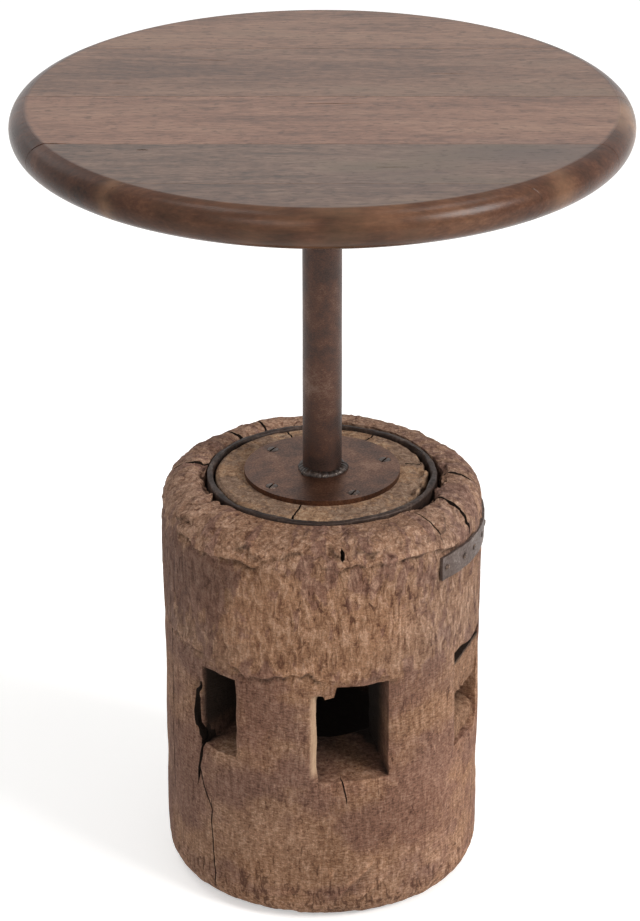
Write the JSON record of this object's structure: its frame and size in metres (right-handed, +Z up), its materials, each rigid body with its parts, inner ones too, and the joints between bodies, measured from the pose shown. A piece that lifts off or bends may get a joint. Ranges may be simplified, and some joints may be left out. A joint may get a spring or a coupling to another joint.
{
  "type": "accent table",
  "caption": "Round wooden accent table with a bull-nosed plank top on an iron pipe post, standing on a weathered cart-wheel hub with open spoke mortises.",
  "frame": {"origin": "centre of the hub's foot, on the common axis of hub, post and tabletop", "axes": "+Z up, -Y toward the pictured front, +X to the right of the picture"},
  "size_m": [0.46, 0.4599, 0.632],
  "materials": {
    "board_wood": "satin lacquer on stained hardwood",
    "post_iron": "oiled rusty iron",
    "weld_steel": "bare weld bead with scale",
    "screw_steel": "darkened steel",
    "core_wood": "worn bare wood",
    "ring_iron": "forged and weathered",
    "hub_wood": "weathered bare wood",
    "strap_iron": "weathered sheet iron",
    "stub_wood": "broken bare wood"
  },
  "bodies": {
    "root": {"top_board_1": "board_wood", "top_board_2": "board_wood", "top_board_3": "board_wood", "top_board_4": "board_wood", "top_board_5": "board_wood", "top_plate": "post_iron", "top_plate_screws": "screw_steel", "top_weld": "weld_steel", "post": "post_iron", "base_weld": "weld_steel", "base_plate": "post_iron", "base_plate_screws": "screw_steel", "core_plug": "core_wood", "crown_ring": "ring_iron", "hub": "hub_wood", "foot_ring": "ring_iron", "repair_strap": "strap_iron", "strap_nails": "strap_iron", "spoke_stub": "stub_wood"}
  },
  "joints": []
}
